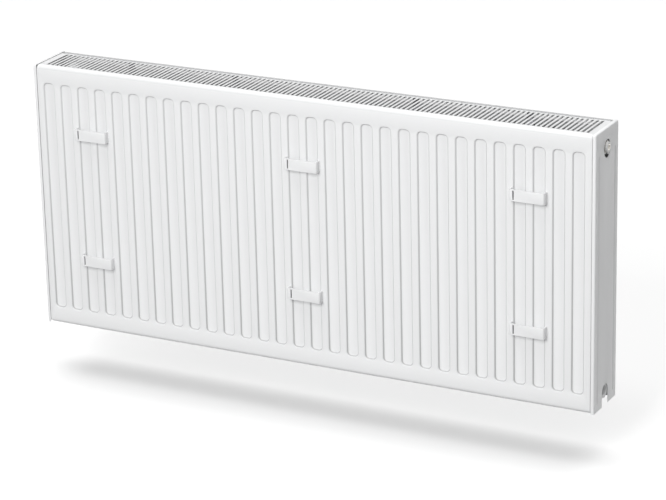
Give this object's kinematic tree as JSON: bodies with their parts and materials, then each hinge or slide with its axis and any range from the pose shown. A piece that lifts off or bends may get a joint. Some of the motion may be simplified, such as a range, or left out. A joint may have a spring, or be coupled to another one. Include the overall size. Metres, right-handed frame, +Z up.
{
  "type": "panel radiator",
  "caption": "Steel panel radiator with twin profiled water panels, convector fins, top grille, side covers, wall hanging straps, air vent and built-in valve.",
  "frame": {"origin": "on the bottom plane, at mid length and mid overall depth (panels plus hanging lugs)", "axes": "+X along the radiator towards the air vent end, +Y from the wall side to the room side, +Z up"},
  "size_m": [1.1177, 0.112, 0.5],
  "materials": {
    "white_powder_coat": "satin",
    "white_inner_coat": "satin",
    "spring_steel": "satin",
    "nickel_plate": "polished",
    "brass": "machined",
    "stainless": "machined",
    "rubber": "matte",
    "white_plastic": "matte",
    "grey_plastic": "matte"
  },
  "bodies": {
    "radiator": {"wall_panel_outer_sheet": "white_powder_coat", "room_panel_outer_sheet": "white_powder_coat", "upper_left_lug": "white_powder_coat", "upper_middle_lug": "white_powder_coat", "upper_right_lug": "white_powder_coat", "lower_left_lug": "white_powder_coat", "lower_middle_lug": "white_powder_coat", "lower_right_lug": "white_powder_coat", "wall_panel_inner_sheet": "white_inner_coat", "room_panel_inner_sheet": "white_inner_coat", "wall_convector": "white_inner_coat", "room_convector": "white_inner_coat", "lower_right_tee": "white_inner_coat", "vent_tee": "white_inner_coat", "return_tee": "white_inner_coat", "return_nipple": "white_inner_coat", "valve_housing": "white_inner_coat", "valve_riser_pipe": "white_inner_coat", "supply_nipple": "white_inner_coat", "nipple_bracket": "white_inner_coat", "grille_clips": "spring_steel", "valve_spring": "spring_steel", "vent_plug": "nickel_plate", "blank_plug": "nickel_plate", "valve_insert_body": "nickel_plate", "valve_gland": "brass", "vent_plug_seal": "rubber", "blank_plug_seal": "rubber", "valve_insert_seal": "rubber"},
    "vent_screw": {"vent_screw": "nickel_plate"},
    "vent_outlet_ring": {"vent_outlet_ring": "white_plastic"},
    "valve_cap": {"valve_cap": "grey_plastic"},
    "valve_spindle": {"valve_spindle": "stainless", "valve_disc": "rubber"},
    "top_grille": {"top_grille": "white_powder_coat"},
    "right_side_cover": {"right_side_cover": "white_powder_coat"},
    "left_side_cover": {"left_side_cover": "white_powder_coat"}
  },
  "joints": [
    {"name": "vent_screw_turn", "type": "hinge", "parent": "radiator", "child": "vent_screw", "pos_m": [0.545, 0.006, 0.466], "axis": [1, 0, 0], "range_deg": [0, 360]},
    {"name": "vent_outlet_swivel", "type": "hinge", "parent": "radiator", "child": "vent_outlet_ring", "pos_m": [0.551, 0.006, 0.466], "axis": [1, 0, 0], "continuous": true},
    {"name": "valve_cap_turn", "type": "hinge", "parent": "radiator", "child": "valve_cap", "pos_m": [-0.555, 0.006, 0.466], "axis": [1, 0, 0], "range_deg": [0, 540]},
    {"name": "valve_spindle_lift", "type": "slide", "parent": "radiator", "child": "valve_spindle", "axis": [1, 0, 0], "range_m": [0, 0.00225], "deforming": ["valve_spring"]},
    {"name": "grille_lift_off", "type": "slide", "parent": "radiator", "child": "top_grille", "axis": [0, 0, 1], "range_m": [0, 0.04]},
    {"name": "right_cover_pull_off", "type": "slide", "parent": "radiator", "child": "right_side_cover", "axis": [1, 0, 0], "range_m": [0, 0.05]},
    {"name": "left_cover_pull_off", "type": "slide", "parent": "radiator", "child": "left_side_cover", "axis": [-1, 0, 0], "range_m": [0, 0.05]}
  ],
  "couplings": [
    {"joint": "valve_spindle_lift", "follows": "valve_cap_turn", "m_per_rad": 0.00023871}
  ]
}
